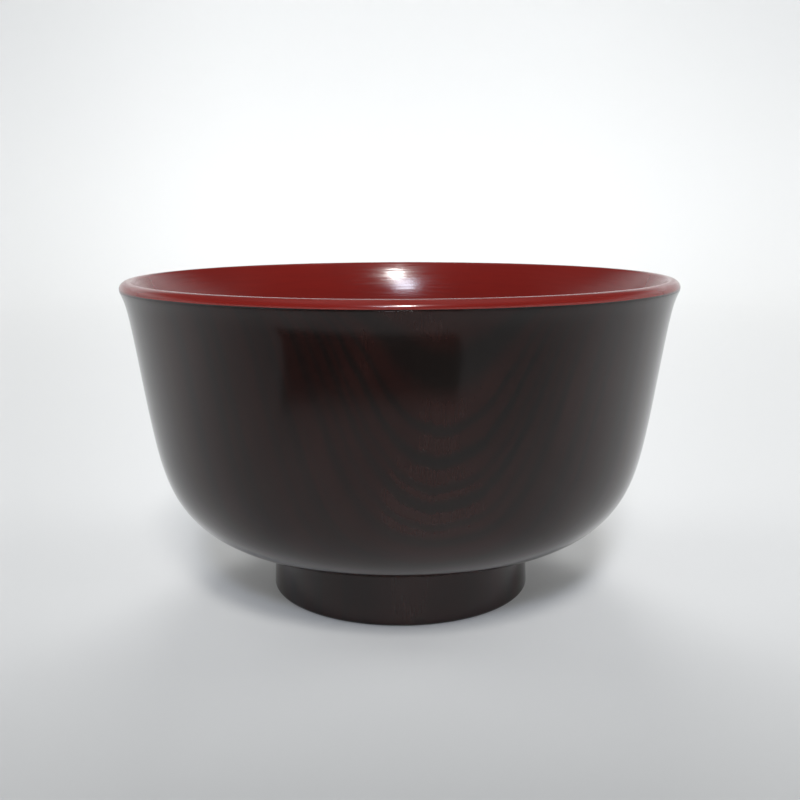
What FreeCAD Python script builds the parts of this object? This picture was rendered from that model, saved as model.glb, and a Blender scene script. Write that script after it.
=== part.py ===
"""Turned wooden bowl on a foot ring, with its coats of lacquer.

Millimetres, +Z up. The origin is the centre of the foot's contact ring, on the surface that the bowl
stands on, and Z is the axis that the bowl is turned about.

The finished outline is drawn once, as a half section in the XZ plane. It starts under the bowl on the
axis, goes out across the recess, down and round the foot, up the outside, over the lip and down the
inside to the axis again, so the material is always on its left. Every coat and the wood itself lie
between two depths below that outline, so neighbours share the same surface.
"""
import FreeCAD
import Part

import math
import os

os.makedirs("parts", exist_ok=True)

# The finished bowl
RIM_RADIUS = 60.0
HEIGHT = 70.0

# The foot ring and the recess inside it
FOOT_RADIUS = 28.95
FOOT_WALL_HEIGHT = 11.3
FOOT_WALL_LEAN = 2.2          # degrees, narrower towards the cup
FOOT_OUTER_ROUNDING = 0.9
FOOT_INNER_ROUNDING = 0.7
CONTACT_WIDTH = 2.0
CREASE_ROUNDING = 0.8
UNDERSIDE_SLOPE = 11.0        # degrees, where the cup leaves the foot
RECESS_DEPTH = 9.5
RECESS_DRAFT = 2.0            # degrees, wider towards the contact ring
RECESS_CORNER_ROUNDING = 1.5

# The lip
LIP_ROUNDING_WIDTH = 1.9      # outer half of the lip, from its ridge out to the rim's widest line
LIP_ROUNDING_HEIGHT = 1.6
LIP_INNER_ROUNDING = 0.9
LIP_INNER_HEADING = 240.0     # degrees, where the lip runs into the inside wall
COLOUR_LINE_WIDTH = 0.25      # the middle coat shows this much between the red, which ends at the
                              # widest line, and the brown below it

# Thickness of the coats
OUTER_COAT = 0.2
RED_COAT = 0.2
MIDDLE_COAT = 0.2
GROUND_COAT = 0.3
UNDER_RED = RED_COAT
UNDER_MIDDLE = UNDER_RED + MIDDLE_COAT
UNDER_GROUND = UNDER_MIDDLE + GROUND_COAT

# Poles of the cup's two smooth curves, as radius and height: each curve starts and ends along its
# first and last leg and passes just inside the poles between
SIDE_FIRST_LEG = 6.5
SIDE_POLES = (
    (43.3, 15.1),
    (51.2, 23.5),
    (54.3, 35.7),
    (57.0, 54.9),
    (58.9, 66.8),
)
SIDE_LAST_LEG = 0.7
INSIDE_FIRST_LEG = 3.4
INSIDE_POLES = (
    (52.9, 60.5),
    (51.2, 47.0),
    (49.3, 32.5),
    (44.2, 21.3),
    (33.5, 16.0),
)
INSIDE_LAST_LEG = 19.0
FLOOR_HEIGHT = 15.2

COPIED_SPAN = 2.5             # spacing along a curve of the points that its copy goes through,
COPIED_SPANS_MIN = 4          # and the fewest spans that the copy of a short curve has
SAME_POINT = 1e-6             # ends closer than this already meet


def at(radius, height):
    return FreeCAD.Vector(radius, 0, height)


def heading_vector(degrees):
    return at(math.cos(math.radians(degrees)), math.sin(math.radians(degrees)))


def straight(start, end):
    return Part.LineSegment(start, end).toShape()


def turn(start, heading, new_heading, radius):
    """The arc that leaves start along one heading and ends along the other, in degrees."""
    side = 90 if new_heading > heading else -90
    centre = start + heading_vector(heading + side) * radius
    middle = (heading + new_heading) / 2
    stops = [centre + heading_vector(angle - side) * radius for angle in (heading, middle, new_heading)]
    return Part.Arc(*stops).toShape()


def smooth(poles):
    """One smooth curve from the first pole to the last, drawn towards the poles between."""
    curve = Part.BSplineCurve()
    curve.buildFromPoles(poles, False, 3)
    return curve.toShape()


def start_of(edge):
    return edge.valueAt(edge.ParameterRange[0])


def end_of(edge):
    return edge.valueAt(edge.ParameterRange[1])


def split_at_height(edge, height):
    """The two lengths of a rising curve, below and above a height."""
    low, high = edge.ParameterRange
    for _ in range(60):
        middle = (low + high) / 2
        if edge.valueAt(middle).z < height:
            low = middle
        else:
            high = middle
    first, last = edge.ParameterRange
    return edge.Curve.toShape(first, high), edge.Curve.toShape(high, last)


def foot_outline():
    """The recess and the foot ring, from the axis below the bowl to the end of the crease."""
    wall_heading = 90 + FOOT_WALL_LEAN
    recess_heading = RECESS_DRAFT - 90
    contact_end = at(FOOT_RADIUS - FOOT_OUTER_ROUNDING, 0)
    contact_start = contact_end - at(CONTACT_WIDTH, 0)
    contact = straight(contact_start, contact_end)
    inner_edge_centre = contact_start + at(0, FOOT_INNER_ROUNDING)
    inner_edge_start = inner_edge_centre + heading_vector(recess_heading - 90) * FOOT_INNER_ROUNDING
    inner_edge = turn(inner_edge_start, recess_heading, 0, FOOT_INNER_ROUNDING)
    outer_edge = turn(contact_end, 0, wall_heading, FOOT_OUTER_ROUNDING)

    # The corner's end lies on the recess wall's own slope, so its height settles its radius
    corner_end_height = RECESS_DEPTH - RECESS_CORNER_ROUNDING * (1 - math.sin(math.radians(RECESS_DRAFT)))
    rise = corner_end_height - inner_edge_start.z
    corner_end = inner_edge_start + at(-rise * math.tan(math.radians(RECESS_DRAFT)), rise)
    corner_start_radius = corner_end.x - RECESS_CORNER_ROUNDING * math.cos(math.radians(RECESS_DRAFT))
    corner_start = at(corner_start_radius, RECESS_DEPTH)
    corner = turn(corner_start, 0, recess_heading, RECESS_CORNER_ROUNDING)
    ceiling = straight(at(0, RECESS_DEPTH), corner_start)
    recess_wall = straight(end_of(corner), inner_edge_start)

    wall_start = end_of(outer_edge)
    wall_rise = FOOT_WALL_HEIGHT - wall_start.z
    wall_end = wall_start + at(-wall_rise * math.tan(math.radians(FOOT_WALL_LEAN)), wall_rise)
    wall = straight(wall_start, wall_end)
    crease = turn(wall_end, wall_heading, UNDERSIDE_SLOPE, CREASE_ROUNDING)
    return {
        "recess": [ceiling, corner],
        "foot": [recess_wall, inner_edge, contact, outer_edge, wall],
        "crease": [crease],
    }


def cup_outline(crease_end):
    """The outside from the crease, over the lip and down the inside to the axis."""
    ridge_radius = RIM_RADIUS - LIP_ROUNDING_WIDTH
    widest = at(RIM_RADIUS, HEIGHT - LIP_ROUNDING_HEIGHT)
    ridge = at(ridge_radius, HEIGHT)
    side_start = [crease_end, crease_end + heading_vector(UNDERSIDE_SLOPE) * SIDE_FIRST_LEG]
    side_end = [widest - at(0, SIDE_LAST_LEG), widest]
    side = smooth(side_start + [at(*pole) for pole in SIDE_POLES] + side_end)
    brown_side, colour_line = split_at_height(side, widest.z - COLOUR_LINE_WIDTH)

    ellipse = Part.Ellipse(widest, ridge, at(ridge.x, widest.z))
    lip_outer = Part.ArcOfEllipse(ellipse, 0, math.pi / 2).toShape()
    lip_inner = turn(ridge, 180, LIP_INNER_HEADING, LIP_INNER_ROUNDING)
    lip_end = end_of(lip_inner)
    inside_start = [lip_end, lip_end + heading_vector(LIP_INNER_HEADING) * INSIDE_FIRST_LEG]
    inside_end = [at(INSIDE_LAST_LEG, FLOOR_HEIGHT), at(0, FLOOR_HEIGHT)]
    inside = smooth(inside_start + [at(*pole) for pole in INSIDE_POLES] + inside_end)
    return {
        "side": [brown_side],
        "line": [colour_line],
        "red": [lip_outer, lip_inner, inside],
    }


def point_below(edge, place, depth):
    """The point at a depth under a place on the edge; the material lies on the edge's left."""
    tangent = edge.tangentAt(place)
    return edge.valueAt(place) + at(-tangent.z, tangent.x) * depth


def edge_below(edge, depth):
    first, last = edge.ParameterRange
    ends = point_below(edge, first, depth), point_below(edge, last, depth)
    if isinstance(edge.Curve, Part.Line):
        return straight(*ends)
    if isinstance(edge.Curve, Part.Circle):
        return Part.Arc(ends[0], point_below(edge, (first + last) / 2, depth), ends[1]).toShape()
    spans = max(COPIED_SPANS_MIN, round(edge.Length / COPIED_SPAN))
    places = [first + (last - first) * step / spans for step in range(spans + 1)]
    curve = Part.BSplineCurve()
    curve.interpolate(Points=[point_below(edge, place, depth) for place in places], Parameters=places)
    return curve.toShape()


def below(edges, depth):
    """The same run of edges, moved into the material."""
    return [edge_below(edge, depth) for edge in edges] if depth else list(edges)


def bridge(start, end):
    """The straight edge between two points, or nothing where they meet."""
    return [straight(start, end)] if (end - start).Length > SAME_POINT else []


def turned(edges):
    """The closed solid turned about the axis from the edges of its half section, in any order."""
    face = Part.Face(Part.Wire(Part.sortEdges(edges)[0]))
    return face.revolve(at(0, 0), at(0, 1), 360)


def coat(edges, top_depth, bottom_depth):
    """A coat that follows the outline's edges, between two depths below it."""
    top = below(edges, top_depth)
    bottom = below(edges, bottom_depth)
    ends = bridge(start_of(top[0]), start_of(bottom[0])) + bridge(end_of(top[-1]), end_of(bottom[-1]))
    return turned(top + bottom + ends)


def middle_coat(line, red):
    """The coat under the red, which turns out to the surface at the colour line."""
    under_red = below(red, UNDER_RED)
    under_middle = below(line + red, UNDER_MIDDLE)
    ends = (bridge(start_of(line[0]), start_of(under_middle[0]))
            + bridge(end_of(line[-1]), start_of(under_red[0]))
            + bridge(end_of(under_red[-1]), end_of(under_middle[-1])))
    return turned(line + under_red + under_middle + ends)


def wooden_body(plain, lined):
    """The wood, turned 0.5 mm deeper where the ground and the red lie, so that the coats end flush."""
    under_plain = below(plain, OUTER_COAT)
    under_lined = below(lined, UNDER_GROUND)
    ends = (bridge(end_of(under_plain[-1]), start_of(under_lined[0]))
            + bridge(end_of(under_lined[-1]), start_of(under_plain[0])))
    return turned(under_plain + under_lined + ends)


def build():
    foot = foot_outline()
    cup = cup_outline(end_of(foot["crease"][-1]))
    outside = foot["crease"] + cup["side"]
    lined = cup["line"] + cup["red"]
    return {
        "wooden_body": wooden_body(foot["recess"] + foot["foot"] + outside, lined),
        "ground_coat": coat(lined, UNDER_MIDDLE, UNDER_GROUND),
        "middle_coat": middle_coat(cup["line"], cup["red"]),
        "red_top_coat": coat(cup["red"], 0, UNDER_RED),
        "brown_lacquer": coat(outside, 0, OUTER_COAT),
        "foot_ring_lacquer": coat(foot["foot"], 0, OUTER_COAT),
        "foot_recess_lacquer": coat(foot["recess"], 0, OUTER_COAT),
    }


for name, solid in build().items():
    box = solid.optimalBoundingBox()
    print(f"{name}: {solid.Volume / 1000:.3f} cm3, valid {solid.isValid()}, solids {len(solid.Solids)}, "
          f"r {box.XMax:.2f}, z {box.ZMin:.2f} to {box.ZMax:.2f}")
    solid.exportStep(f"parts/{name}.step")
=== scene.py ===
"""Lacquered rice bowl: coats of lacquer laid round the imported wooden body, on a pale sweep.

Every coat is a closed shell between two depths under one outline, and the outline is the half section
of the finished bowl. A point of that section is one complex number, radius + 1j * height, in metres,
so a heading is a turn of the number and the material side of the outline is its left, 1j times the
tangent. The outline starts on the axis under the bowl, goes out across the recess, down and round the
foot, up the outside, over the lip and down the inside to the axis again.
"""

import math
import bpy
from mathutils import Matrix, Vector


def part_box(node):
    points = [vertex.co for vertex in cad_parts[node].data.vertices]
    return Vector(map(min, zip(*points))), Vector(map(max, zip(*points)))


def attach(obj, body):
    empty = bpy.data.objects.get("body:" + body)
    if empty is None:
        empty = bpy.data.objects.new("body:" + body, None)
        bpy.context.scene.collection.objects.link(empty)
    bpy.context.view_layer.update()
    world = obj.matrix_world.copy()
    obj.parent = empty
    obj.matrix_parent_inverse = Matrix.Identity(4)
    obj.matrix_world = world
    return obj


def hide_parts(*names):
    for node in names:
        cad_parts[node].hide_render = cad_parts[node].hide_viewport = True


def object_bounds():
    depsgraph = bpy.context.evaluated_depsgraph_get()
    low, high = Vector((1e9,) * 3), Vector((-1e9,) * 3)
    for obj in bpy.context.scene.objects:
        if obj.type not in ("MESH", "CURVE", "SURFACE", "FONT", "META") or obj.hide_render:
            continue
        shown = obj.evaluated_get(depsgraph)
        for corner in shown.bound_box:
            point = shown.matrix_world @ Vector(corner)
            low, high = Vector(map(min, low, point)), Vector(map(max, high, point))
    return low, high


bl_info = {
    "name": "Lacquered rice bowl",
    "version": (1, 0, 0),
    "blender": (4, 5, 0),
    "location": "View3D > Sidebar > Rice bowl",
    "description": "Lays the coats of lacquer round the packed bowl and sets the stage for it",
    "category": "Add Mesh",
}

from collections import namedtuple

import bpy
import numpy as np
from bpy.props import FloatProperty, FloatVectorProperty, IntProperty, PointerProperty
from mathutils import Matrix, Vector

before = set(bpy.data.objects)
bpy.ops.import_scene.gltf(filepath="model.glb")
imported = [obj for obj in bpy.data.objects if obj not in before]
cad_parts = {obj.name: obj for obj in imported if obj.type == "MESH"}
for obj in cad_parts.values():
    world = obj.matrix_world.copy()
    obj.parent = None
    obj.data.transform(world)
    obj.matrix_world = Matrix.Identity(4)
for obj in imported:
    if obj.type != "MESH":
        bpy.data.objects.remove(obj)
CAD_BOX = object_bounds()
FOOT_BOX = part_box("foot_ring_lacquer")
RECESS_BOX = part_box("foot_recess_lacquer")
RED_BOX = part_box("red_top_coat")

MM = 0.001

# Thickness of the coats
OUTER_COAT = 0.2 * MM
RED_COAT = 0.2 * MM
MIDDLE_COAT = 0.2 * MM

# Foot ring and recess
FOOT_WALL_LEAN = 2.2          # degrees, narrower towards the cup
FOOT_OUTER_ROUNDING = 0.9 * MM
FOOT_INNER_ROUNDING = 0.7 * MM
CONTACT_WIDTH = 2.0 * MM
CREASE_ROUNDING = 0.8 * MM
UNDERSIDE_SLOPE = 11.0        # degrees, where the cup leaves the foot
RECESS_DRAFT = 2.0            # degrees, wider towards the contact ring
RECESS_CORNER_ROUNDING = 1.5 * MM

# Lip
LIP_ROUNDING_WIDTH = 1.9 * MM
LIP_ROUNDING_HEIGHT = 1.6 * MM
LIP_INNER_ROUNDING = 0.9 * MM
LIP_INNER_HEADING = 240.0     # degrees

# Poles of the cup's two smooth curves, as radius and height in millimetres, for a bowl of the drawn
# radius and height; they stretch with the bowl
DRAWN_RADIUS = 60.0
DRAWN_HEIGHT = 70.0
SIDE_FIRST_LEG = 6.5
SIDE_POLES = (
    (43.3, 15.1),
    (51.2, 23.5),
    (54.3, 35.7),
    (57.0, 54.9),
    (58.9, 66.8),
)
SIDE_LAST_LEG = 0.7
INSIDE_FIRST_LEG = 3.4
INSIDE_POLES = (
    (52.9, 60.5),
    (51.2, 47.0),
    (49.3, 32.5),
    (44.2, 21.3),
    (33.5, 16.0),
)
INSIDE_LAST_LEG = 19.0

RUN_POINTS = 400              # points worked out along each run of the outline
EDGE_ROWS = 6                 # rows round the rounded edge of a coat
FADE = 3.0 * MM               # the colour line's wander dies away over this much of a coat
MOST_TURN = 4.0               # degrees that a coat's top may turn between two rows
UNDERSIDE_COARSENESS = 3.0    # a coat's hidden bottom has rows this much further apart
SHARP_ANGLE = 50.0            # degrees, a coat's cut edges are sharper than this

Outline = namedtuple("Outline", "distance points left stops")


# Sizes and colours

def length_property(name, description, default):
    return FloatProperty(name=name, description=description, default=default, min=0,
                         precision=5, unit="LENGTH", subtype="DISTANCE")


def angle_property(name, description, degrees):
    return FloatProperty(name=name, description=description, default=math.radians(degrees),
                         unit="ROTATION", subtype="ANGLE")


def colour_property(name, description, default):
    return FloatVectorProperty(name=name, description=description, default=default, size=3,
                               min=0, soft_max=1, precision=4, subtype="COLOR")


def share_property(name, description, default):
    return FloatProperty(name=name, description=description, default=default, min=0, max=1,
                         precision=3, subtype="FACTOR")


def amount_property(name, description, default):
    return FloatProperty(name=name, description=description, default=default, min=0)


class BowlSizes(bpy.types.PropertyGroup):
    """Sizes of the finished bowl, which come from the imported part."""

    rim_radius: length_property(
        "Rim radius", "From the axis to the widest line, under the lip", CAD_BOX[1].x)
    height: length_property(
        "Height", "From the contact ring to the lip's ridge", CAD_BOX[1].z)
    foot_radius: length_property(
        "Foot radius", "Outer radius of the foot ring near the table", FOOT_BOX[1].x)
    foot_height: length_property(
        "Foot height", "Height of the foot ring's outer wall", FOOT_BOX[1].z)
    recess_depth: length_property(
        "Recess depth", "Depth of the recess inside the foot ring", RECESS_BOX[1].z - OUTER_COAT)
    floor_height: length_property(
        "Inside floor height", "Lowest point of the red inside", RED_BOX[0].z + RED_COAT)
    line_width: length_property(
        "Colour line width", "Width of the dark line between red and brown", 0.25 * MM)
    line_depth: length_property(
        "Colour line depth", "How far the dark line lies under both lacquers", 0.05 * MM)
    line_wander: length_property(
        "Colour line wander", "How far the hand-brushed edges stray", 0.07 * MM)
    edge_rounding: length_property(
        "Coat edge rounding", "Rounding of a coat's edge at the colour line", 0.05 * MM)
    wave: length_property(
        "Surface wave", "Height of the broad unevenness left by turning and rubbing", 0.02 * MM)
    row_spacing: length_property(
        "Row spacing", "Longest step between the rows of a coat's top", 1.1 * MM)
    columns: IntProperty(
        name="Columns", description="Steps of a coat round the bowl", default=360, min=24)


class BowlFinish(bpy.types.PropertyGroup):
    """Colours and gloss of the lacquers, the ground and the wood."""

    red: colour_property("Red", "Pigment of the red top coat", (0.207, 0.0115, 0.0075))
    red_deep: colour_property(
        "Deep red", "Where the red coat was brushed thin", (0.170, 0.0092, 0.0062))
    brown: colour_property(
        "Red-brown", "Pale wood under the brown lacquer", (0.0190, 0.0070, 0.0058))
    brown_dark: colour_property(
        "Dark brown", "Dark growth rings under the brown lacquer", (0.0056, 0.0062, 0.0055))
    dark: colour_property("Dark lacquer", "Middle coat and the recess", (0.0055, 0.0045, 0.0042))
    ground: colour_property("Ground", "Filled ground coat under the lining", (0.085, 0.060, 0.040))
    wood_pale: colour_property("Pale wood", "Early wood of the turned body", (0.42, 0.24, 0.12))
    wood_dark: colour_property("Dark wood", "Late wood of the turned body", (0.19, 0.085, 0.04))
    ring_strength: share_property(
        "Ring strength", "How strongly the growth rings show through the brown lacquer", 0.85)
    red_roughness: share_property("Red roughness", "Roughness of the red lacquer", 0.17)
    brown_roughness: share_property("Brown roughness", "Roughness of the brown lacquer", 0.12)
    pith_distance: length_property(
        "Pith distance", "From the bowl's axis to the heart of the tree", 190 * MM)
    pith_turn: angle_property(
        "Pith direction", "Turn of the tree's heart from the bowl's front, to the right", 8.6)


class BowlStage(bpy.types.PropertyGroup):
    """Camera, lights and sweep."""

    camera_distance: length_property(
        "Camera distance", "From the bowl's axis to the camera, level", 227.6 * MM)
    camera_height: length_property("Camera height", "Above the table", 84.9 * MM)
    camera_pitch: angle_property("Camera pitch", "How far the camera looks down", 10.65)
    camera_roll: angle_property("Camera roll", "Turn of the camera about its view", -0.2)
    lens: FloatProperty(name="Lens", description="Focal length on a 36 mm sensor", default=46.125,
                        min=1, unit="CAMERA")
    light_distance: length_property("Light distance", "From the bowl to each light", 3.0)
    key_turn: angle_property("Key direction", "Turn of the key light to the right", 2.5)
    key_rise: angle_property("Key elevation", "Elevation of the key light", 49.6)
    key_power: FloatProperty(
        name="Key power", description="Power of the key light", default=35, min=0, unit="POWER")
    side_power: FloatProperty(name="Side power", description="Power of each side light, which the "
                              "lacquer doesn't reflect", default=6, min=0, unit="POWER")
    back_power: FloatProperty(name="Back power", description="Power of the back light, which the "
                              "lacquer doesn't reflect", default=13, min=0, unit="POWER")
    fill: amount_property("Fill", "Brightness of the room in front", 0.12)
    ceiling_fill: amount_property("Ceiling fill", "Brightness of the ceiling", 0.42)
    wall_fill: amount_property("Wall fill", "Brightness that the wall behind adds", 1.0)
    sweep: colour_property("Sweep", "Colour of the floor and backdrop", (0.850, 0.856, 0.848))


# Outline

def heading_vector(degrees):
    """The unit step along a heading: cosine + 1j * sine."""
    return np.exp(1j * np.radians(degrees))


def straight(start, end):
    """A straight run: start + share * (end - start)."""
    return start + np.linspace(0, 1, RUN_POINTS) * (end - start)


def turn(start, heading, new_heading, radius):
    """The arc that leaves start along one heading and ends along the other, in degrees: its centre
    lies a radius to the side that it turns to, and each point is the centre less a step there."""
    side = 90 if new_heading > heading else -90
    centre = start + heading_vector(heading + side) * radius
    return centre + heading_vector(np.linspace(heading, new_heading, RUN_POINTS) - side) * radius


def share_of(part, whole):
    """part / whole, and nothing where the whole is nothing."""
    return np.where(whole > 0, part / np.where(whole > 0, whole, 1), 0)


def smooth(poles):
    """The clamped cubic B-spline of the poles: their sum, each weighted by its basis function, which
    is blended up from spans to cubics by the rule of Cox and de Boor."""
    spans = len(poles) - 3
    knots = np.concatenate(([0] * 3, np.arange(spans + 1), [spans] * 3)).astype(float)
    place = np.linspace(0, spans, RUN_POINTS)[:, None]
    basis = ((knots[:-1] <= place) & (place < knots[1:])).astype(float)
    basis[-1, spans + 2] = 1
    for degree in (1, 2, 3):
        rise = share_of(place - knots[:-degree - 1], knots[degree:-1] - knots[:-degree - 1])
        fall = share_of(knots[degree + 1:] - place, knots[degree + 1:] - knots[1:-degree])
        basis = rise * basis[:, :-1] + fall * basis[:, 1:]
    return basis @ np.array(poles)


def stretched(sizes, radius, height=0.0):
    """A pole of the drawn bowl, stretched to this bowl's radius and height."""
    return complex(radius * sizes.rim_radius / DRAWN_RADIUS, height * sizes.height / DRAWN_HEIGHT)


def foot_runs(sizes):
    """Straight runs and arcs of the recess and of the foot ring, each leaving the last one's end."""
    wall_heading = 90 + FOOT_WALL_LEAN
    recess_heading = RECESS_DRAFT - 90
    lean = math.tan(math.radians(FOOT_WALL_LEAN))
    draft = math.radians(RECESS_DRAFT)
    contact_end = complex(sizes.foot_radius - FOOT_OUTER_ROUNDING, 0)
    contact_start = contact_end - CONTACT_WIDTH
    inner_start = contact_start + (1j + heading_vector(recess_heading - 90)) * FOOT_INNER_ROUNDING
    outer_edge = turn(contact_end, 0, wall_heading, FOOT_OUTER_ROUNDING)
    corner_end_height = sizes.recess_depth - RECESS_CORNER_ROUNDING * (1 - math.sin(draft))
    corner_end = inner_start + (corner_end_height - inner_start.imag) * (1j - math.tan(draft))
    corner_start = complex(corner_end.real - RECESS_CORNER_ROUNDING * math.cos(draft),
                           sizes.recess_depth)
    corner = turn(corner_start, 0, recess_heading, RECESS_CORNER_ROUNDING)
    wall_start = outer_edge[-1]
    wall_end = wall_start + (sizes.foot_height - wall_start.imag) * (1j - lean)
    recess = [straight(complex(0, sizes.recess_depth), corner_start), corner]
    foot = [
        straight(corner[-1], inner_start),
        turn(inner_start, recess_heading, 0, FOOT_INNER_ROUNDING),
        straight(contact_start, contact_end),
        outer_edge,
        straight(wall_start, wall_end),
    ]
    return recess, foot, turn(wall_end, wall_heading, UNDERSIDE_SLOPE, CREASE_ROUNDING)


def side_run(sizes, crease_end, widest):
    """The outside of the cup: a smooth curve from the crease to the widest line, level with it."""
    first_leg = heading_vector(UNDERSIDE_SLOPE) * SIDE_FIRST_LEG * MM
    poles = [stretched(sizes, radius, height) for radius, height in SIDE_POLES]
    return smooth([crease_end, crease_end + first_leg, *poles,
                   widest - 1j * SIDE_LAST_LEG * MM, widest])


def lip_runs(widest, ridge):
    """The lip: a quarter ellipse out to in, widest * cosine + ridge * sine from its centre, and then
    an arc down to the inside."""
    centre = complex(ridge.real, widest.imag)
    quarter = np.linspace(0, math.pi / 2, RUN_POINTS)
    outer = centre + LIP_ROUNDING_WIDTH * np.cos(quarter) + 1j * LIP_ROUNDING_HEIGHT * np.sin(quarter)
    return outer, turn(ridge, 180, LIP_INNER_HEADING, LIP_INNER_ROUNDING)


def inside_run(sizes, lip_end):
    """The inside of the cup: a smooth curve from the lip to the axis, level at the bottom."""
    first_leg = heading_vector(LIP_INNER_HEADING) * INSIDE_FIRST_LEG * MM
    poles = [stretched(sizes, radius, height) for radius, height in INSIDE_POLES]
    bottom = complex(0, sizes.floor_height)
    return smooth([lip_end, lip_end + first_leg, *poles,
                   bottom + stretched(sizes, INSIDE_LAST_LEG), bottom])


def joined(runs):
    """The runs as one line, without the point that each shares with the one before."""
    return np.concatenate([runs[0]] + [run[1:] for run in runs[1:]])


def length_of(points):
    return float(np.abs(np.diff(points)).sum())


def bowl_outline(sizes):
    """The whole outline: its points, the distance along it of each, the unit normal to the material
    side, which is 1j * tangent, and the distances at which one coat gives way to the next."""
    recess, foot, crease = foot_runs(sizes)
    widest = complex(sizes.rim_radius, sizes.height - LIP_ROUNDING_HEIGHT)
    ridge = complex(sizes.rim_radius - LIP_ROUNDING_WIDTH, sizes.height)
    side = side_run(sizes, crease[-1], widest)
    lip_outer, lip_inner = lip_runs(widest, ridge)
    points = joined([*recess, *foot, crease, side, lip_outer, lip_inner,
                     inside_run(sizes, lip_inner[-1])])
    distance = np.concatenate(([0], np.cumsum(np.abs(np.diff(points)))))
    tangent = np.gradient(points, distance)
    recess_end = length_of(joined(recess))
    foot_end = length_of(joined(recess + foot))
    widest_at = length_of(joined([*recess, *foot, crease, side]))
    stops = {
        "recess_end": recess_end,
        "foot_end": foot_end,
        "brown_end": widest_at - sizes.line_width,
        "red_start": widest_at,
        "axis": distance[-1],
    }
    return Outline(distance, points, 1j * tangent / np.abs(tangent), stops)


def rows_between(outline, start, end, spacing, most_turn):
    """Distances along the outline from start to end, closer together where it turns: they are evenly
    stepped in length / spacing + turn / most turn."""
    inner = (outline.distance > start) & (outline.distance < end)
    places = np.concatenate(([start], outline.distance[inner], [end]))
    normal = np.interp(places, outline.distance, outline.left)
    turned = np.abs(np.angle(normal[1:] / normal[:-1]))
    effort = np.cumsum(np.diff(places) / spacing + turned / math.radians(most_turn))
    effort = np.concatenate(([0], effort))
    count = math.ceil(effort[-1]) + 1
    return np.interp(np.linspace(0, effort[-1], count), effort, places)


# Coats

def hand_wander(angle, phase):
    """A brush's stray round the bowl, between about -1 and 1: sines of a few whole turns."""
    return (0.5 * np.sin(3 * angle + phase) + 0.3 * np.sin(7 * angle + 2.3 * phase)
            + 0.2 * np.sin(16 * angle + 0.7 * phase))


def strayed(sizes, outline, place, angle):
    """Places near the colour line, moved along the outline with the two brushed edges: the brown
    edge's stray and the red edge's stray, each at its full size at its own edge and dying away over
    the fade on its own coat and over the line between them."""
    brown_end, red_start = outline.stops["brown_end"], outline.stops["red_start"]
    brown = np.interp(place, [brown_end - FADE, brown_end, red_start], [0, 1, 0])
    red = np.interp(place, [brown_end, red_start, red_start + FADE], [0, 1, 0])
    stray = 0.6 * brown * hand_wander(angle, 0.4) + red * hand_wander(angle, 2.0)
    return place + sizes.line_wander * stray


def turning_wave(sizes, place, angle, radius):
    """The broad unevenness of the surface: slow sines round the bowl and along the outline, smaller
    towards the axis."""
    along = place / (9 * MM)
    wave = (0.5 * np.sin(2 * angle + 0.6 * along + 0.3) + 0.3 * np.sin(3 * angle - 0.9 * along + 2.1)
            + 0.2 * np.sin(7 * angle + 1.4 * along + 4.0))
    return sizes.wave * wave * radius / sizes.rim_radius


def coat_points(sizes, outline, places, depths):
    """The grid of a coat: a row for each place and depth of its section, a column for each step round
    the bowl. A point is the outline's point plus depth along the normal, at radius * (cos, sin)."""
    angle = np.linspace(0, 2 * math.pi, sizes.columns, endpoint=False)[None, :]
    place = strayed(sizes, outline, places[:, None], angle)
    base = np.interp(place, outline.distance, outline.points)
    normal = np.interp(place, outline.distance, outline.left)
    wave = turning_wave(sizes, place, angle, base.real)
    point = base + normal / np.abs(normal) * (depths[:, None] - wave)
    x = point.real * np.cos(angle)
    y = point.real * np.sin(angle)
    return np.stack((x, y, point.imag), axis=2), place


def ring_faces(rows, columns, closed):
    """Quads between neighbouring rows; the last column joins the first, and in a closed section the
    last row joins the first too."""
    row = np.arange(rows if closed else rows - 1)[:, None]
    column = np.arange(columns)[None, :]
    next_row = (row + 1) % rows
    next_column = (column + 1) % columns
    corners = (row * columns + column, row * columns + next_column,
               next_row * columns + next_column, next_row * columns + column)
    return np.stack([corner.ravel() for corner in corners], axis=1)


def fan_faces(ring_start, columns, pole, flip):
    """Triangles from a pole to the ring of vertices round it."""
    column = np.arange(columns)
    here = ring_start + column
    after = ring_start + (column + 1) % columns
    pair = (here, after) if flip else (after, here)
    return np.stack((np.full(columns, pole), *pair), axis=1)


def signed_volume(points, faces):
    """A sixth of the sum, over every face's fan of triangles, of a corner dotted with the cross of
    the two others; it is negative when the faces point inwards."""
    first = points[faces[:, 0]]
    total = 0.0
    for step in range(1, faces.shape[1] - 1):
        total += np.sum(first * np.cross(points[faces[:, step]], points[faces[:, step + 1]]))
    return total / 6


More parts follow.
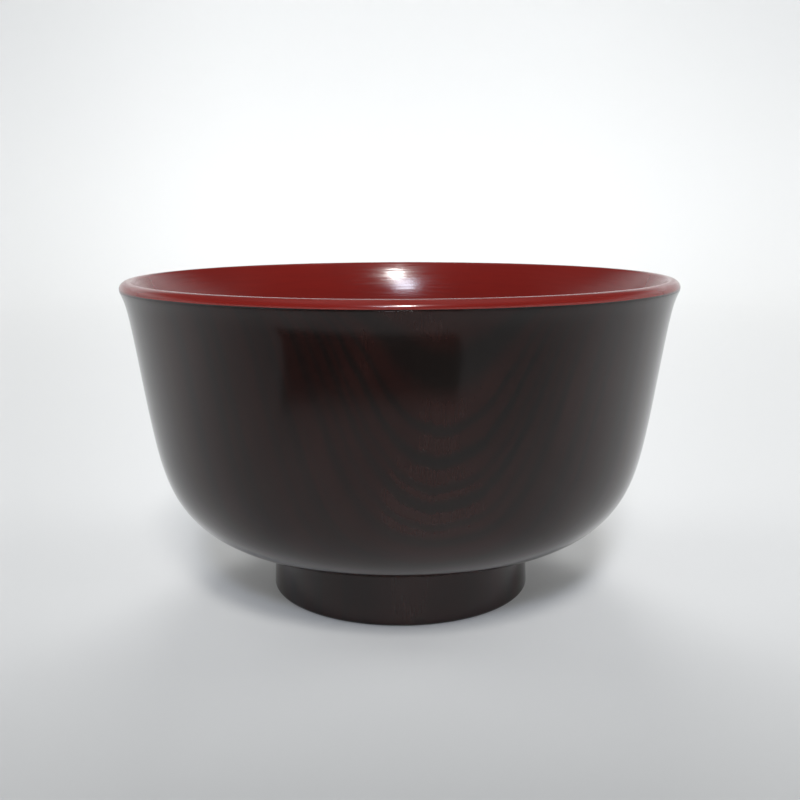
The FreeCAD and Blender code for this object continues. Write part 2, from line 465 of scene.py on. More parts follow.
def closed_solid(name, grid, along, on_axis):
    """A closed mesh from the grid of a section carried round the axis. Where the section starts and
    ends on the axis, its first and last rows are single pole vertices with a fan of triangles."""
    rows, columns = grid.shape[:2]
    if on_axis:
        poles = grid[[0, -1]].mean(axis=1)
        poles[:, :2] = 0
        points = np.concatenate((grid[1:-1].reshape(-1, 3), poles))
        along = np.concatenate((along[1:-1].ravel(), along[[0, -1], 0]))
        rows -= 2
        first_pole = rows * columns
        fans = np.concatenate((fan_faces(0, columns, first_pole, True),
                               fan_faces((rows - 1) * columns, columns, first_pole + 1, False)))
    else:
        points = grid.reshape(-1, 3)
        along = along.ravel()
        fans = np.empty((0, 3), int)
    quads = ring_faces(rows, columns, not on_axis)
    if signed_volume(points, quads) + signed_volume(points, fans) < 0:
        quads, fans = quads[:, ::-1], fans[:, ::-1]
    mesh = bpy.data.meshes.new(name)
    mesh.from_pydata(points.tolist(), [], quads.tolist() + fans.tolist())
    mesh.attributes.new("along_outline", "FLOAT", "POINT").data.foreach_set(
        "value", along.astype(np.float32))
    mesh.shade_smooth()
    mesh.set_sharp_from_angle(angle=math.radians(SHARP_ANGLE))
    if mesh.validate():
        raise RuntimeError(f"{name} has faulty faces")
    return mesh


def rounded_edge(start, direction, rounding):
    """Places and depths round the rounded edge of a coat, from the cut to the flat: a quarter circle,
    rounding * (1 - sine) along and rounding * (1 - cosine) down."""
    quarter = np.linspace(math.pi / 2, 0, EDGE_ROWS)
    return (start + direction * rounding * (1 - np.sin(quarter)), rounding * (1 - np.cos(quarter)))


def add_piece(name, mesh, replaced, slot):
    """Puts a finished mesh in the scene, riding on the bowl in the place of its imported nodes."""
    mesh.materials.append(material_for(slot))
    piece = bpy.data.objects.new(name, mesh)
    bpy.context.scene.collection.objects.link(piece)
    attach(piece, "root")
    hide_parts(*replaced)


def top_rows(sizes, outline, start, end):
    return rows_between(outline, start, end, sizes.row_spacing, MOST_TURN)


def bottom_rows(sizes, outline, start, end):
    return rows_between(outline, start, end, sizes.row_spacing * UNDERSIDE_COARSENESS,
                        MOST_TURN * UNDERSIDE_COARSENESS)


def plain_section(sizes, outline, start, end):
    """Section of a coat with cut ends: out along its top and back along its bottom."""
    top = top_rows(sizes, outline, start, end)
    bottom = bottom_rows(sizes, outline, start, end)[::-1]
    return np.concatenate((top, bottom)), np.repeat([0, OUTER_COAT], (len(top), len(bottom)))


def recess_section(sizes, outline):
    return plain_section(sizes, outline, 0, outline.stops["recess_end"])


def foot_section(sizes, outline):
    return plain_section(sizes, outline, outline.stops["recess_end"], outline.stops["foot_end"])


def brown_section(sizes, outline):
    """Section of the brown coat: it meets the foot's coat flush and ends rounded at the line."""
    start, end = outline.stops["foot_end"], outline.stops["brown_end"]
    edge, edge_depth = rounded_edge(end, -1, sizes.edge_rounding)
    top = top_rows(sizes, outline, start, edge[-1])[:-1]
    bottom = bottom_rows(sizes, outline, start, end)[::-1]
    places = np.concatenate((top, edge[::-1], bottom))
    depths = np.concatenate((np.zeros(len(top)), edge_depth[::-1],
                             np.full(len(bottom), OUTER_COAT)))
    return places, depths


def red_section(sizes, outline):
    """Section of the red coat, from the axis out along its top, round its edge and back below."""
    start, end = outline.stops["red_start"], outline.stops["axis"]
    edge, edge_depth = rounded_edge(start, 1, sizes.edge_rounding)
    top = top_rows(sizes, outline, edge[-1], end)[:0:-1]
    bottom = bottom_rows(sizes, outline, start, end)
    places = np.concatenate((top, edge[::-1], bottom))
    depths = np.concatenate((np.zeros(len(top)), edge_depth[::-1], np.full(len(bottom), RED_COAT)))
    return places, depths


def middle_section(sizes, outline):
    """Section of the middle coat, from the axis out under the red, up the step to the colour line,
    across the line and back below."""
    line_start, red_start = outline.stops["brown_end"], outline.stops["red_start"]
    under_red = bottom_rows(sizes, outline, red_start, outline.stops["axis"])[::-1]
    line = np.linspace(red_start, line_start, EDGE_ROWS)
    bottom = np.concatenate(([line_start], under_red[::-1]))
    places = np.concatenate((under_red, line, bottom))
    depths = np.concatenate((np.full(len(under_red), RED_COAT), np.full(len(line), sizes.line_depth),
                             np.full(len(bottom), RED_COAT + MIDDLE_COAT)))
    return places, depths


def lay_coat(name, section, on_axis, replaced, slot):
    """Makes the coat whose half section the function gives, and puts it on the bowl."""
    sizes = bpy.context.scene.rice_bowl_sizes
    outline = bowl_outline(sizes)
    places, depths = section(sizes, outline)
    grid, along = coat_points(sizes, outline, places, depths)
    add_piece(name, closed_solid(name, grid, along, on_axis), replaced, slot)


# Materials

# Index of refraction
LACQUER_INDEX = 1.5
BROWN_INDEX = 1.45

# Heights of the relief in each surface
ORANGE_PEEL = 0.006 * MM      # the fine unevenness that lacquer dries with
DARK_PEEL = 0.008 * MM
PORE_DEPTH = 0.002 * MM       # what is left of a pore in the brown coat's surface
BRUSH_MARK = 0.06 * MM
GROUND_TOOTH = 0.02 * MM
WOOD_PORE = 0.03 * MM
TOOL_RING = 0.02 * MM


def add_node(tree, kind, inputs=None, output=0, **settings):
    """Adds a node, sets its properties, feeds its inputs with values or with other nodes' outputs,
    and returns one of its outputs."""
    node = tree.nodes.new(kind)
    for name, value in settings.items():
        setattr(node, name, value)
    for socket, value in (inputs or {}).items():
        if isinstance(value, bpy.types.NodeSocket):
            tree.links.new(value, node.inputs[socket])
        else:
            node.inputs[socket].default_value = value
    return node.outputs[output] if len(node.outputs) else node


def calculate(tree, operation, *values):
    return add_node(tree, "ShaderNodeMath", dict(enumerate(values)), operation=operation)


def scaled(tree, vector, factor):
    """The vector or colour times a number."""
    return add_node(tree, "ShaderNodeVectorMath", {0: vector, "Scale": factor}, operation="SCALE")


def added(tree, first, second):
    return add_node(tree, "ShaderNodeVectorMath", {0: first, 1: second}, operation="ADD")


def magnitude(tree, vector):
    return add_node(tree, "ShaderNodeVectorMath", {0: vector}, output="Value", operation="LENGTH")


def axis_of(tree, vector, axis):
    return add_node(tree, "ShaderNodeSeparateXYZ", {0: vector}, output=axis)


def in_millimetres(tree):
    """The object's own coordinates, in millimetres."""
    return scaled(tree, add_node(tree, "ShaderNodeTexCoord", output="Object"), 1 / MM)


def new_material(name):
    """A material without a surface, its nodes, and the object's coordinates among them."""
    material = bpy.data.materials.new(name)
    material.use_nodes = True
    material.node_tree.nodes.clear()
    return material, material.node_tree, in_millimetres(material.node_tree)


def squeezed(tree, vector, scale):
    """The coordinates multiplied axis by axis, so that a pattern is drawn out along the small ones."""
    return add_node(tree, "ShaderNodeVectorMath", {0: vector, 1: scale}, operation="MULTIPLY")


def noise(tree, vector, scale, detail=2.0, roughness=0.5):
    """Noise with this many cells to each step of the vector, which is a millimetre where the vector
    hasn't been squeezed."""
    return add_node(tree, "ShaderNodeTexNoise",
                    {"Vector": vector, "Scale": scale, "Detail": detail, "Roughness": roughness})


def noise_along(tree, value, scale, detail):
    """Noise in one dimension, which is the same wherever the value is."""
    return add_node(tree, "ShaderNodeTexNoise", {"W": value, "Scale": scale, "Detail": detail},
                    noise_dimensions="1D")


def between(tree, value, low, high, to_low=0.0, to_high=1.0, easing="SMOOTHSTEP"):
    """The value carried from one range to another, smoothly at both ends unless the easing is
    LINEAR."""
    return add_node(tree, "ShaderNodeMapRange",
                    {"Value": value, "From Min": low, "From Max": high,
                     "To Min": to_low, "To Max": to_high}, interpolation_type=easing)


def mixed(tree, factor, first, second):
    """The first colour, changed to the second by the factor."""
    return add_node(tree, "ShaderNodeMix", {0: factor, 6: first, 7: second}, output=2,
                    data_type="RGBA")


def with_alpha(colour):
    return (*colour, 1.0)


def bump(tree, height, strength, distance, normal=None):
    inputs = {"Height": height, "Strength": strength, "Distance": distance}
    if normal is not None:
        inputs["Normal"] = normal
    return add_node(tree, "ShaderNodeBump", inputs)


def finish_surface(tree, inputs):
    """The material's shader, with its constants on its own sockets, and the output."""
    shader = add_node(tree, "ShaderNodeBsdfPrincipled", inputs)
    add_node(tree, "ShaderNodeOutputMaterial", {"Surface": shader})


# Growth rings that cross the bowl's front, as distance from the pith in millimetres, half width and
# darkness
GROWTH_RINGS = (
    (132.7, 0.80, 0.90),
    (134.5, 0.16, 0.85),
    (135.5, 0.22, 0.95),
    (136.5, 0.16, 0.75),
    (137.3, 0.27, 0.90),
    (138.5, 0.22, 0.70),
    (139.9, 0.45, 0.80),
)
RINGS_START = 130.0
RINGS_END = 142.0
# A ring's darkness rises from this many half widths before its middle, is full between the next two,
# and has died away at the last
RING_STEPS = (-1.5, -0.5, 0.5, 1.3)
PITH_LEAN = (0.012, 0.02, 0.0)
BROAD_WANDER = 1.6            # millimetres that the rings stray
FINE_WANDER = 0.35
FEATHER = 0.28                # millimetres that upright fibres roughen a ring's edge
FIBRE_RADIUS = 55.1           # millimetres, about the cup's mean radius
FIBRE_RISE = 0.045            # cells of the fibres upwards for each cell round the bowl


def upright_fibres(tree, place):
    """Coordinates in which a pattern runs up the bowl's side: the direction from the axis, times a
    mean radius, with a little of the height."""
    level = squeezed(tree, place, (1, 1, 0))
    outward = add_node(tree, "ShaderNodeVectorMath", {0: level}, operation="NORMALIZE")
    return added(tree, scaled(tree, outward, FIBRE_RADIUS), squeezed(tree, place, (0, 0, FIBRE_RISE)))


def pith_distance(tree, place, finish):
    """Distance from the tree's heart, which is a line beside the bowl, leaning slightly, with the slow
    wander that growth gives it and the fibres' feathering."""
    pith = Vector((math.sin(finish.pith_turn), -math.cos(finish.pith_turn), 0)) * finish.pith_distance
    leant = add_node(tree, "ShaderNodeMapping",
                     {"Vector": place, "Location": -pith / MM, "Rotation": PITH_LEAN})
    level = squeezed(tree, leant, (1, 1, 0))
    broad = noise(tree, squeezed(tree, place, (1, 1, 0.5)), scale=0.028, detail=1.0)
    fine = noise(tree, squeezed(tree, place, (1, 1, 0.15)), scale=0.30)
    strayed_broad = calculate(tree, "MULTIPLY_ADD", broad, BROAD_WANDER, magnitude(tree, level))
    strayed_fine = calculate(tree, "MULTIPLY_ADD", fine, FINE_WANDER, strayed_broad)
    fibres = noise(tree, upright_fibres(tree, place), scale=2.4)
    feather = calculate(tree, "SUBTRACT", fibres, 0.5)
    return calculate(tree, "MULTIPLY_ADD", feather, FEATHER, strayed_fine)


def front_rings(tree, distance):
    """Darkness of the rings at the front: a hump at each one's distance from the pith."""
    span = RINGS_END - RINGS_START
    factor = between(tree, distance, RINGS_START, RINGS_END, easing="LINEAR")
    node = tree.nodes.new("ShaderNodeValToRGB")
    tree.links.new(factor, node.inputs[0])
    stops = node.color_ramp.elements
    stops[0].color = stops[1].color = (0, 0, 0, 1)
    for centre, half_width, darkness in GROWTH_RINGS:
        for step, value in zip(RING_STEPS, (0, darkness, darkness, 0)):
            stop = stops.new((centre + step * half_width - RINGS_START) / span)
            stop.color = (value, value, value, 1)
    return node.outputs["Color"]


def ring_darkness(tree, place, finish):
    """Darkness of the growth rings everywhere: the front ones, and beyond them noise along the
    distance from the pith."""
    distance = pith_distance(tree, place, finish)
    bands = between(tree, noise_along(tree, distance, scale=0.45, detail=3.0), 0.46, 0.57, 0.0, 0.80)
    beyond = between(tree, distance, RINGS_END - 1, RINGS_END + 1)
    return calculate(tree, "MAXIMUM", front_rings(tree, distance),
                     calculate(tree, "MULTIPLY", bands, beyond))


def brown_lacquer(finish):
    """Translucent brown lacquer: growth rings and upright pores of the wood seen through it, clearer
    in some places than in others, under a glossy surface that follows the pores a little."""
    material, tree, place = new_material("Brown lacquer over grain")
    drawn_up = squeezed(tree, place, (1, 1, 0.4))
    clear = between(tree, noise(tree, drawn_up, scale=0.022, detail=1.0), 0.38, 0.62,
                    0.75 * finish.ring_strength, finish.ring_strength)
    rings = calculate(tree, "MULTIPLY", ring_darkness(tree, place, finish), clear)
    pores = noise(tree, upright_fibres(tree, place), scale=3.2, detail=3.0, roughness=0.6)
    clouds = noise(tree, drawn_up, scale=0.06, detail=3.0)
    wood = mixed(tree, rings, with_alpha(finish.brown), with_alpha(finish.brown_dark))
    shade = between(tree, clouds, 0.3, 0.7, 0.72, 1.25)
    streak = between(tree, pores, 0.32, 0.68, 0.94, 1.06)
    colour = scaled(tree, wood, calculate(tree, "MULTIPLY", shade, streak))
    rough = between(tree, noise(tree, place, scale=0.12, detail=4.0), 0.3, 0.7,
                    finish.brown_roughness * 0.85, finish.brown_roughness * 1.15)
    pore_dents = between(tree, pores, 0.60, 0.74, 1.0, 0.0)
    normal = bump(tree, noise(tree, place, scale=0.55), 0.35, ORANGE_PEEL)
    normal = bump(tree, pore_dents, 0.15, PORE_DEPTH, normal)
    finish_surface(tree, {"Base Color": colour, "Roughness": rough, "IOR": BROWN_INDEX,
                          "Normal": normal})
    return material


def brush_marks(tree, place, across, round_bowl):
    """Noise drawn out round the bowl: so many cells to a millimetre across the marks, along the
    outline, and so many round the axis."""
    along = add_node(tree, "ShaderNodeAttribute", output="Fac", attribute_name="along_outline")
    steps = calculate(tree, "MULTIPLY", along, across / MM)
    slow = squeezed(tree, place, (round_bowl, round_bowl, 0))
    quick = add_node(tree, "ShaderNodeCombineXYZ", {"Z": steps})
    return noise(tree, added(tree, slow, quick), scale=1.0, detail=3.0, roughness=0.55)


def red_lacquer(finish):
    """Opaque red lacquer, brushed round the bowl: it pools and thins along the brush marks and keeps
    their faint ridges."""
    material, tree, place = new_material("Red lacquer")
    marks = brush_marks(tree, place, across=1.7, round_bowl=0.09)
    clouds = noise(tree, place, scale=0.05, detail=3.0)
    thin = between(tree, marks, 0.35, 0.7, 0.0, 0.35)
    patchy = calculate(tree, "ADD", between(tree, clouds, 0.35, 0.7, 0.0, 0.35), thin)
    colour = mixed(tree, patchy, with_alpha(finish.red), with_alpha(finish.red_deep))
    rough = between(tree, marks, 0.3, 0.7, finish.red_roughness * 0.85, finish.red_roughness * 1.2)
    normal = bump(tree, marks, 0.5, BRUSH_MARK)
    normal = bump(tree, noise(tree, place, scale=0.6), 0.30, ORANGE_PEEL, normal)
    finish_surface(tree, {"Base Color": colour, "Roughness": rough, "IOR": LACQUER_INDEX,
                          "Normal": normal})
    return material


def dark_lacquer(finish):
    """Nearly black lacquer of the middle coat and of the recess, with a slight cloudiness."""
    material, tree, place = new_material("Dark lacquer")
    clouds = noise(tree, place, scale=0.12, detail=4.0)
    warm = tuple(channel * scale for channel, scale in zip(finish.dark, (2.2, 1.4, 1.2)))
    colour = mixed(tree, between(tree, clouds, 0.4, 0.75), with_alpha(finish.dark), with_alpha(warm))
    rough = between(tree, noise(tree, place, scale=0.4, detail=3.0), 0.3, 0.7, 0.16, 0.26)
    normal = bump(tree, noise(tree, place, scale=0.7, detail=3.0), 0.35, DARK_PEEL)
    finish_surface(tree, {"Base Color": colour, "Roughness": rough, "IOR": LACQUER_INDEX,
                          "Normal": normal})
    return material


def ground(finish):
    """Filled ground under the lining, rubbed flat, with a mineral speckle."""
    material, tree, place = new_material("Rubbed ground")
    speckle = noise(tree, place, scale=3.0, detail=4.0, roughness=0.7)
    pale = tuple(channel * 1.6 for channel in finish.ground)
    colour = mixed(tree, between(tree, speckle, 0.4, 0.7), with_alpha(finish.ground), with_alpha(pale))
    rough = between(tree, speckle, 0.3, 0.7, 0.7, 0.9)
    normal = bump(tree, speckle, 0.5, GROUND_TOOTH)
    finish_surface(tree, {"Base Color": colour, "Roughness": rough, "Normal": normal})
    return material


def turned_wood(finish):
    """Bare turned wood: the same growth rings as show through the brown lacquer, upright pores, and
    the lathe tool's faint rings."""
    material, tree, place = new_material("Turned wood")
    rings = ring_darkness(tree, place, finish)
    pores = noise(tree, squeezed(tree, place, (1, 1, 0.055)), scale=2.6, detail=3.0, roughness=0.6)
    grain = calculate(tree, "MULTIPLY_ADD", between(tree, pores, 0.4, 0.7), 0.3,
                      calculate(tree, "MULTIPLY", rings, 0.7))
    colour = mixed(tree, grain, with_alpha(finish.wood_pale), with_alpha(finish.wood_dark))
    rough = between(tree, pores, 0.3, 0.7, 0.5, 0.7)
    tool_rings = noise(tree, squeezed(tree, place, (0.02, 0.02, 1)), scale=1.5)
    normal = bump(tree, pores, 0.5, WOOD_PORE)
    normal = bump(tree, tool_rings, 0.4, TOOL_RING, normal)
    finish_surface(tree, {"Base Color": colour, "Roughness": rough, "Normal": normal})
    return material


MATERIALS = {
    "wood": ("Turned wood", turned_wood),
    "ground": ("Rubbed ground", ground),
    "dark_lacquer": ("Dark lacquer", dark_lacquer),
    "red_lacquer": ("Red lacquer", red_lacquer),
    "brown_lacquer": ("Brown lacquer over grain", brown_lacquer),
}


def material_for(slot):
    """The slot's material, made the first time that it is asked for."""
    name, make = MATERIALS[slot]
    return bpy.data.materials.get(name) or make(bpy.context.scene.rice_bowl_finish)


# Stage

SWEEP_FLAT = 0.75             # metres of level floor round the bowl
SWEEP_RISE = 0.50             # metres, radius of the sweep's curve up to the backdrop
SWEEP_TURN = 80               # degrees that the sweep has turned up by at its edge
SWEEP_COLUMNS = 128
FLOOR_ROWS = 7
CURVE_ROWS = 24
PAPER_TOOTH = 0.02 * MM

# Painted light and shade on the paper, as shares of its palest: a painted falloff of light to the left
# and right of a paler middle, and a painted shade before the bowl; and the distance before the bowl's
# axis that the paler middle fans out from, in millimetres
LEFT_PAINTED_FALLOFF = 0.83
RIGHT_PAINTED_FALLOFF = 0.90
FRONT_PAINTED_SHADE = 0.39             # painted shade, the grey patch before the bowl
FAN_START = 230

# Corners of the dark card on the floor, a painted shadow before the bowl that only the lacquer's
# reflections see, in millimetres, its height, the distances from the bowl's axis that it fades in
# between, and its brightness, which it glows with
CARD_CORNERS = ((-330, -560), (230, -560), (108, -225), (35, -128), (-100, -105))
CARD_HEIGHT = 0.6 * MM
CARD_FADE = (149, 166)
CARD_BRIGHTNESS = 0.05

# Lights: sizes in metres, powers in watts
BOWL_MIDDLE = (0, 0, 0.03)
FOOT_OF_BOWL = (0, 0, 0)
WARM = (1.0, 0.985, 0.96)
SKY = (0.78, 0.85, 1.0)
WHITE = (1.0, 1.0, 1.0)
GLINT_SIZE = (0.09, 0.09)
KEY_SIZE = (0.60, 0.60)
SECOND_TURN = -3.0            # degrees
SECOND_RISE = 39.8            # degrees
SECOND_SIZE = (0.42, 0.34)
SECOND_POWER = 23.0
BACKDROP_LAMP = (0, 0.75, 0.9)
BACKDROP_AIM = (0, 1.2, 0.3)
BACKDROP_SIZE = (0.3, 0.2)
BACKDROP_POWER = 0.8
SIDE_LAMP = (1.6, 0.25, 1.0)
BACK_LAMP = (0, 1.5, 1.5)
FILL_SIZE = (0.9, 0.7)
ROOM_COLOUR = (0.96, 0.98, 1.0, 1)


def painted_light_on_sweep(tree, place):
    """Painted light and shade on the paper, 1 at its palest: max(sides, far front) * max(front patch,
    far front, aside).
    The front patch is painted shade before the bowl. The sides are a painted falloff of light from a
    paler middle, and they darken with across / (distance behind the bowl + the fan's start)."""
    across = axis_of(tree, place, "X")
    depth = axis_of(tree, place, "Y")
    # Painted shade: the paper greys towards the patch before the bowl
    patch = between(tree, depth, -170, 0, FRONT_PAINTED_SHADE, 1.0)
    far_front = between(tree, depth, -560, -260, 1.0, 0.0)
    aside = between(tree, calculate(tree, "ABSOLUTE", across), 180, 420)
    pale = calculate(tree, "MAXIMUM", far_front, aside)
    # Painted falloff of light: the paper darkens towards the sides, along a fan from the paler middle
    reach = calculate(tree, "ADD", calculate(tree, "MAXIMUM", depth, 0), FAN_START)
    fan = calculate(tree, "DIVIDE", across, reach)
    sides = calculate(tree, "MULTIPLY", between(tree, fan, -0.42, -0.12, LEFT_PAINTED_FALLOFF, 1.0),
                      between(tree, fan, 0.12, 0.42, 1.0, RIGHT_PAINTED_FALLOFF))
    return calculate(tree, "MULTIPLY", calculate(tree, "MAXIMUM", sides, far_front),
                     calculate(tree, "MAXIMUM", patch, pale))


def sweep_material(stage):
    """Pale seamless paper with painted light and shade: painted shade in a patch before the bowl,
    painted falloff towards the sides, and a faint tooth.
    """
    material, tree, place = new_material("Pale sweep")
    # The paper's colour carries the painted light and shade
    colour = scaled(tree, tuple(stage.sweep), painted_light_on_sweep(tree, place))
    tooth = noise(tree, place, scale=1.5, detail=3.0)
    finish_surface(tree, {"Base Color": colour, "Roughness": 0.75, "Specular IOR Level": 0.2,
                          "Normal": bump(tree, tooth, 0.15, PAPER_TOOTH)})
    return material


def shadow_card_material():
    """A nearly black card that glows faintly, a painted shadow for the lacquer to reflect, and fades
    in with distance from the bowl's axis.
    """
    material, tree, place = new_material("Painted shadow card")
    # Painted shadow: a faint, nearly black glow that fades in with distance from the axis
    card = add_node(tree, "ShaderNodeEmission", {"Color": with_alpha([CARD_BRIGHTNESS] * 3)})
    clear = add_node(tree, "ShaderNodeBsdfTransparent")
    surface = add_node(tree, "ShaderNodeMixShader",
                       {0: between(tree, magnitude(tree, place), *CARD_FADE), 1: clear, 2: card})
    add_node(tree, "ShaderNodeOutputMaterial", {"Surface": surface})
    return material


def staged(name, points, faces, material, smooth_shaded=False):
    """Makes a piece of the stage, which isn't part of the bowl."""
    mesh = bpy.data.meshes.new(name)
    mesh.from_pydata(points, [], faces)
    mesh.materials.append(material)
    if smooth_shaded:
        mesh.shade_smooth()
    piece = bpy.data.objects.new(name, mesh)
    bpy.context.scene.collection.objects.link(piece)
    return piece


def set_sweep(stage):
    """A level round floor whose edge curves up to a backdrop all round: radius = flat + rise * sine,
    height = rise * (1 - cosine)."""
    curve = np.linspace(0, math.radians(SWEEP_TURN), CURVE_ROWS)
    floor = np.linspace(0.05, SWEEP_FLAT, FLOOR_ROWS, endpoint=False)
    radius = np.concatenate((floor, SWEEP_FLAT + SWEEP_RISE * np.sin(curve)))[:, None]
    height = np.concatenate((np.zeros(FLOOR_ROWS), SWEEP_RISE * (1 - np.cos(curve))))[:, None]
    angle = np.linspace(0, 2 * math.pi, SWEEP_COLUMNS, endpoint=False)
    grid = np.stack((radius * np.cos(angle), radius * np.sin(angle),
                     np.broadcast_to(height, (len(height), SWEEP_COLUMNS))), axis=2)
    points = np.concatenate((grid.reshape(-1, 3), [[0, 0, 0]]))
    quads = ring_faces(len(radius), SWEEP_COLUMNS, False)[:, ::-1]
    centre = fan_faces(0, SWEEP_COLUMNS, len(points) - 1, True)
    staged("sweep", points.tolist(), quads.tolist() + centre.tolist(), sweep_material(stage), True)


def set_shadow_card():
    """A dark card, a painted shadow on the table before the bowl, that only the lacquer's reflections
    see.
    """
    points = [(x * MM, y * MM, CARD_HEIGHT) for x, y in CARD_CORNERS]
    card = staged("painted_shadow_card", points, [range(len(points))], shadow_card_material())
    card.visible_camera = False
    card.visible_diffuse = False
    card.visible_shadow = False
    card.visible_transmission = False


def direction_to(turn_right, rise):
    """The unit vector from the bowl to something in front of it, turned to the right and raised."""
    level = math.cos(rise)
    return Vector((level * math.sin(turn_right), -level * math.cos(turn_right), math.sin(rise)))


def area_light(name, place, aim, size, power, colour):
    light = bpy.data.lights.new(name, "AREA")
    light.shape = "RECTANGLE"
    light.size, light.size_y = size
    light.energy = power
    light.color = colour
    lamp = bpy.data.objects.new(name, light)
    facing = (Vector(aim) - Vector(place)).to_track_quat("-Z", "Y")
    lamp.matrix_world = Matrix.Translation(place) @ facing.to_matrix().to_4x4()
    bpy.context.scene.collection.objects.link(lamp)
    return lamp


def front_lights(stage):
    """The key light before the bowl and the cooler, lower one. The key is a broad lamp that lights the
    surfaces and a small one that they reflect."""
    key = direction_to(stage.key_turn, stage.key_rise) * stage.light_distance
    glint = area_light("key_glint", key, BOWL_MIDDLE, GLINT_SIZE, stage.key_power, WARM)
    glint.visible_diffuse = False
    broad = area_light("key", key, BOWL_MIDDLE, KEY_SIZE, stage.key_power, WARM)
    broad.visible_glossy = False
    second = direction_to(math.radians(SECOND_TURN), math.radians(SECOND_RISE))
    area_light("second", second * stage.light_distance, BOWL_MIDDLE, SECOND_SIZE, SECOND_POWER, SKY)


def fill_lights(stage):
    """A lamp on the backdrop, and lamps at the sides and the back that the lacquer doesn't reflect."""
    area_light("backdrop_light", BACKDROP_LAMP, BACKDROP_AIM, BACKDROP_SIZE, BACKDROP_POWER, WHITE)
    right, depth, rise = SIDE_LAMP
    for name, place, power in (
        ("side_fill", (-right, depth, rise), stage.side_power),
        ("side_fill", (right, depth, rise), stage.side_power),
        ("back_fill", BACK_LAMP, stage.back_power),
    ):
        lamp = area_light(name, place, FOOT_OF_BOWL, FILL_SIZE, power, WHITE)
        lamp.visible_glossy = False


def room_light(stage):
    """The room: a dim front, a brighter ceiling, and pale walls at the back and sides. It goes by the
    direction's own backward and upward parts."""
    world = bpy.data.worlds.new("Room")
    world.use_nodes = True
    tree = world.node_tree
    tree.nodes.clear()
    direction = add_node(tree, "ShaderNodeTexCoord", output="Generated")
    depth = axis_of(tree, direction, "Y")
    rise = axis_of(tree, direction, "Z")
    walls = calculate(tree, "MULTIPLY", between(tree, depth, -0.15, 0.55),
                      between(tree, rise, 0.28, 0.55, 1.0, 0.0))
    ceiling = between(tree, rise, 0.75, 0.97, stage.fill, stage.ceiling_fill)
    strength = calculate(tree, "MULTIPLY_ADD", walls, stage.wall_fill, ceiling)
    light = add_node(tree, "ShaderNodeBackground", {"Color": ROOM_COLOUR, "Strength": strength})
    add_node(tree, "ShaderNodeOutputWorld", {"Surface": light})
    bpy.context.scene.world = world


def camera_view(stage):
    """The camera, which looks down by its pitch and leans by its roll."""
    camera = bpy.data.cameras.new("camera")
    camera.lens = stage.lens
    camera.sensor_width = 36
    camera.clip_start = 0.01
    viewer = bpy.data.objects.new("camera", camera)
    place = Matrix.Translation((0, -stage.camera_distance, stage.camera_height))
    pitch = Matrix.Rotation(math.pi / 2 - stage.camera_pitch, 4, "X")
    viewer.matrix_world = place @ pitch @ Matrix.Rotation(stage.camera_roll, 4, "Z")
    bpy.context.scene.collection.objects.link(viewer)
    bpy.context.scene.camera = viewer


# Operators

class DressBody(bpy.types.Operator):
    """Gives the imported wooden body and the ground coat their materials."""

    bl_idname = "rice_bowl.dress_body"
    bl_label = "Wood and ground"

    def execute(self, context):
        for node, slot in (("wooden_body", "wood"), ("ground_coat", "ground")):
            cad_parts[node].data.materials.clear()
            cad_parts[node].data.materials.append(material_for(slot))
        return {"FINISHED"}


class LayMiddleCoat(bpy.types.Operator):
    """Lays the dark middle coat under the red, out to the colour line."""

    bl_idname = "rice_bowl.middle_coat"
    bl_label = "Middle coat"

    def execute(self, context):
        lay_coat("middle_lacquer", middle_section, True, ["middle_coat"], "dark_lacquer")
        return {"FINISHED"}


class LayRedCoat(bpy.types.Operator):
    """Lays the red top coat over the inside and the lip."""

    bl_idname = "rice_bowl.red_coat"
    bl_label = "Red top coat"

    def execute(self, context):
        lay_coat("red_lacquer", red_section, True, ["red_top_coat"], "red_lacquer")
        return {"FINISHED"}


class LayBrownCoat(bpy.types.Operator):
    """Lays the brown lacquer over the cup's outside."""

    bl_idname = "rice_bowl.brown_coat"
    bl_label = "Brown coat"

    def execute(self, context):
        lay_coat("cup_lacquer", brown_section, False, ["brown_lacquer"], "brown_lacquer")
        return {"FINISHED"}


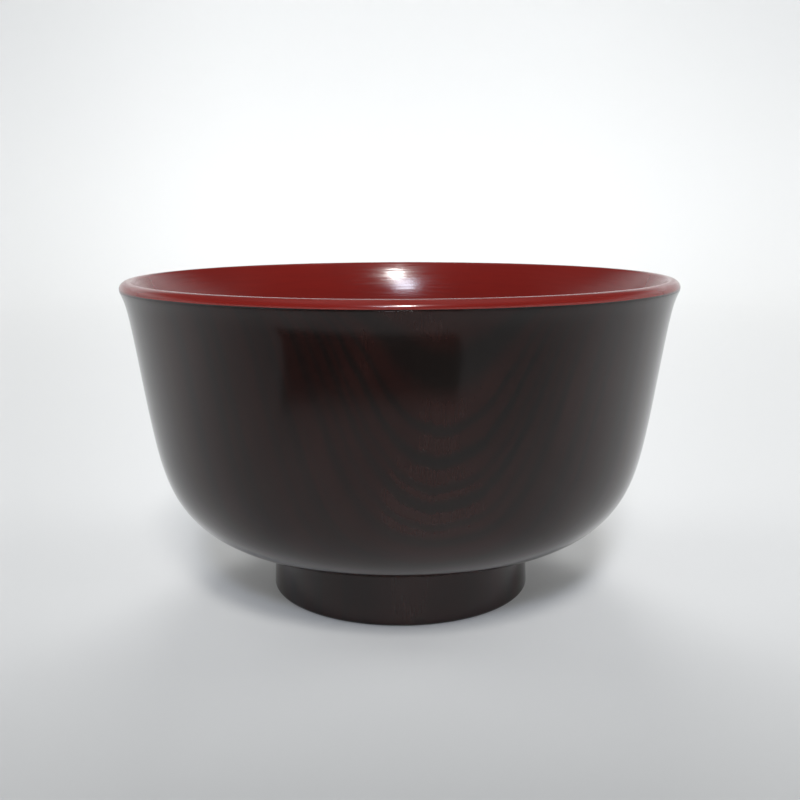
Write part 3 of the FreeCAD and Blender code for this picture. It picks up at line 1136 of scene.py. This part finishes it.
class LayFootCoats(bpy.types.Operator):
    """Lays the brown lacquer on the foot ring and the dark lacquer in its recess."""

    bl_idname = "rice_bowl.foot_coats"
    bl_label = "Foot coats"

    def execute(self, context):
        lay_coat("foot_lacquer", foot_section, False, ["foot_ring_lacquer"], "brown_lacquer")
        lay_coat("recess_lacquer", recess_section, True, ["foot_recess_lacquer"], "dark_lacquer")
        return {"FINISHED"}


class SetStage(bpy.types.Operator):
    """Sets the sweep, whose paper carries painted light and shade, the dark card of painted shadow
    that the lacquer reflects, the lights and the camera.
    """

    bl_idname = "rice_bowl.stage"
    bl_label = "Stage"

    def execute(self, context):
        stage = context.scene.rice_bowl_stage
        # The sweep's paper carries painted light and shade
        set_sweep(stage)
        # The dark card is a painted shadow that only reflections see
        set_shadow_card()
        front_lights(stage)
        fill_lights(stage)
        room_light(stage)
        camera_view(stage)
        context.scene.view_settings.view_transform = "Standard"
        return {"FINISHED"}


class BowlPanel(bpy.types.Panel):
    """Buttons for each coat and the stage, above the sizes and colours that they use."""

    bl_idname = "VIEW3D_PT_rice_bowl"
    bl_label = "Rice bowl"
    bl_space_type = "VIEW_3D"
    bl_region_type = "UI"
    bl_category = "Rice bowl"

    def draw(self, context):
        for operator in OPERATORS:
            self.layout.operator(operator.bl_idname)
        for name, group in GROUPS.items():
            box = self.layout.box()
            for field in group.__annotations__:
                box.prop(getattr(context.scene, name), field)


OPERATORS = (DressBody, LayMiddleCoat, LayRedCoat, LayBrownCoat, LayFootCoats, SetStage)
GROUPS = {
    "rice_bowl_sizes": BowlSizes,
    "rice_bowl_finish": BowlFinish,
    "rice_bowl_stage": BowlStage,
}


def register():
    for made_class in (*GROUPS.values(), *OPERATORS, BowlPanel):
        bpy.utils.register_class(made_class)
    for name, group in GROUPS.items():
        setattr(bpy.types.Scene, name, PointerProperty(type=group))


def unregister():
    for name in GROUPS:
        delattr(bpy.types.Scene, name)
    for made_class in (BowlPanel, *reversed(OPERATORS), *reversed(GROUPS.values())):
        bpy.utils.unregister_class(made_class)


def main():
    register()
    bpy.ops.rice_bowl.dress_body()
    bpy.ops.rice_bowl.middle_coat()
    bpy.ops.rice_bowl.red_coat()
    bpy.ops.rice_bowl.brown_coat()
    bpy.ops.rice_bowl.foot_coats()
    bpy.ops.rice_bowl.stage()


if __name__ == "__main__":
    main()
